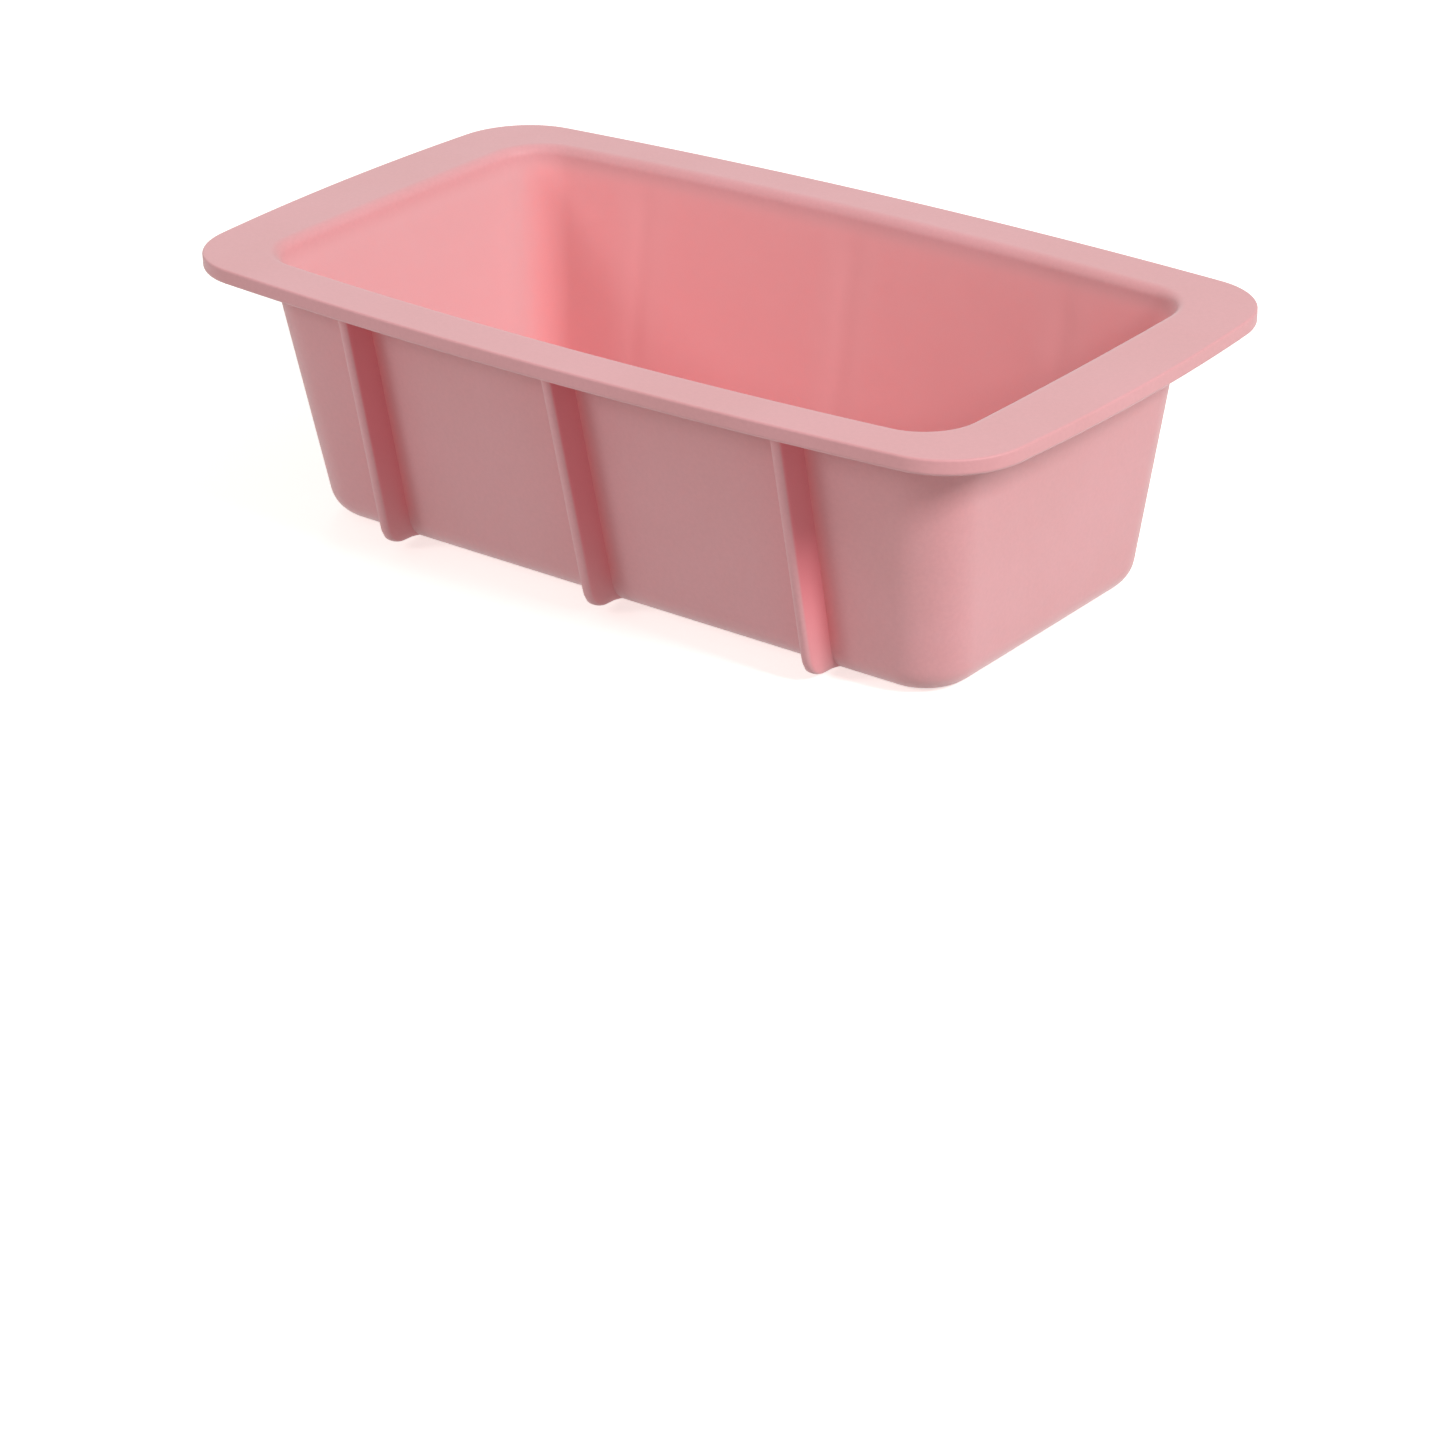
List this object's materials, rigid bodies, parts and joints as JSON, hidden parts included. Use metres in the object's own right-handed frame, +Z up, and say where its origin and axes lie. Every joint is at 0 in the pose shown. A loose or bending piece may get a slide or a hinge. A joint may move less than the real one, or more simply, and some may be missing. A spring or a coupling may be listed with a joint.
{
  "type": "soap loaf mould",
  "caption": "Open silicone loaf mould with tapered walls, a wide flat rim with grip tabs at its ends, an edge bead and side ribs.",
  "frame": {"origin": "centre of the base, on the surface the mould stands on", "axes": "+X along the loaf, +Y across it, +Z up out of the mouth"},
  "size_m": [0.27, 0.153, 0.078],
  "materials": {
    "silicone": "matt pale pink moulded silicone with a soft satin sheen"
  },
  "bodies": {
    "root": {"base_panel": "silicone", "front_wall": "silicone", "back_wall": "silicone", "left_end_wall": "silicone", "right_end_wall": "silicone", "front_left_corner": "silicone", "front_right_corner": "silicone", "back_left_corner": "silicone", "back_right_corner": "silicone", "front_rim_flange": "silicone", "back_rim_flange": "silicone", "left_grip_tab": "silicone", "right_grip_tab": "silicone", "front_edge_bead": "silicone", "back_edge_bead": "silicone", "left_edge_bead": "silicone", "right_edge_bead": "silicone", "front_left_rib": "silicone", "front_middle_rib": "silicone", "front_right_rib": "silicone", "back_left_rib": "silicone", "back_middle_rib": "silicone", "back_right_rib": "silicone"}
  },
  "joints": []
}
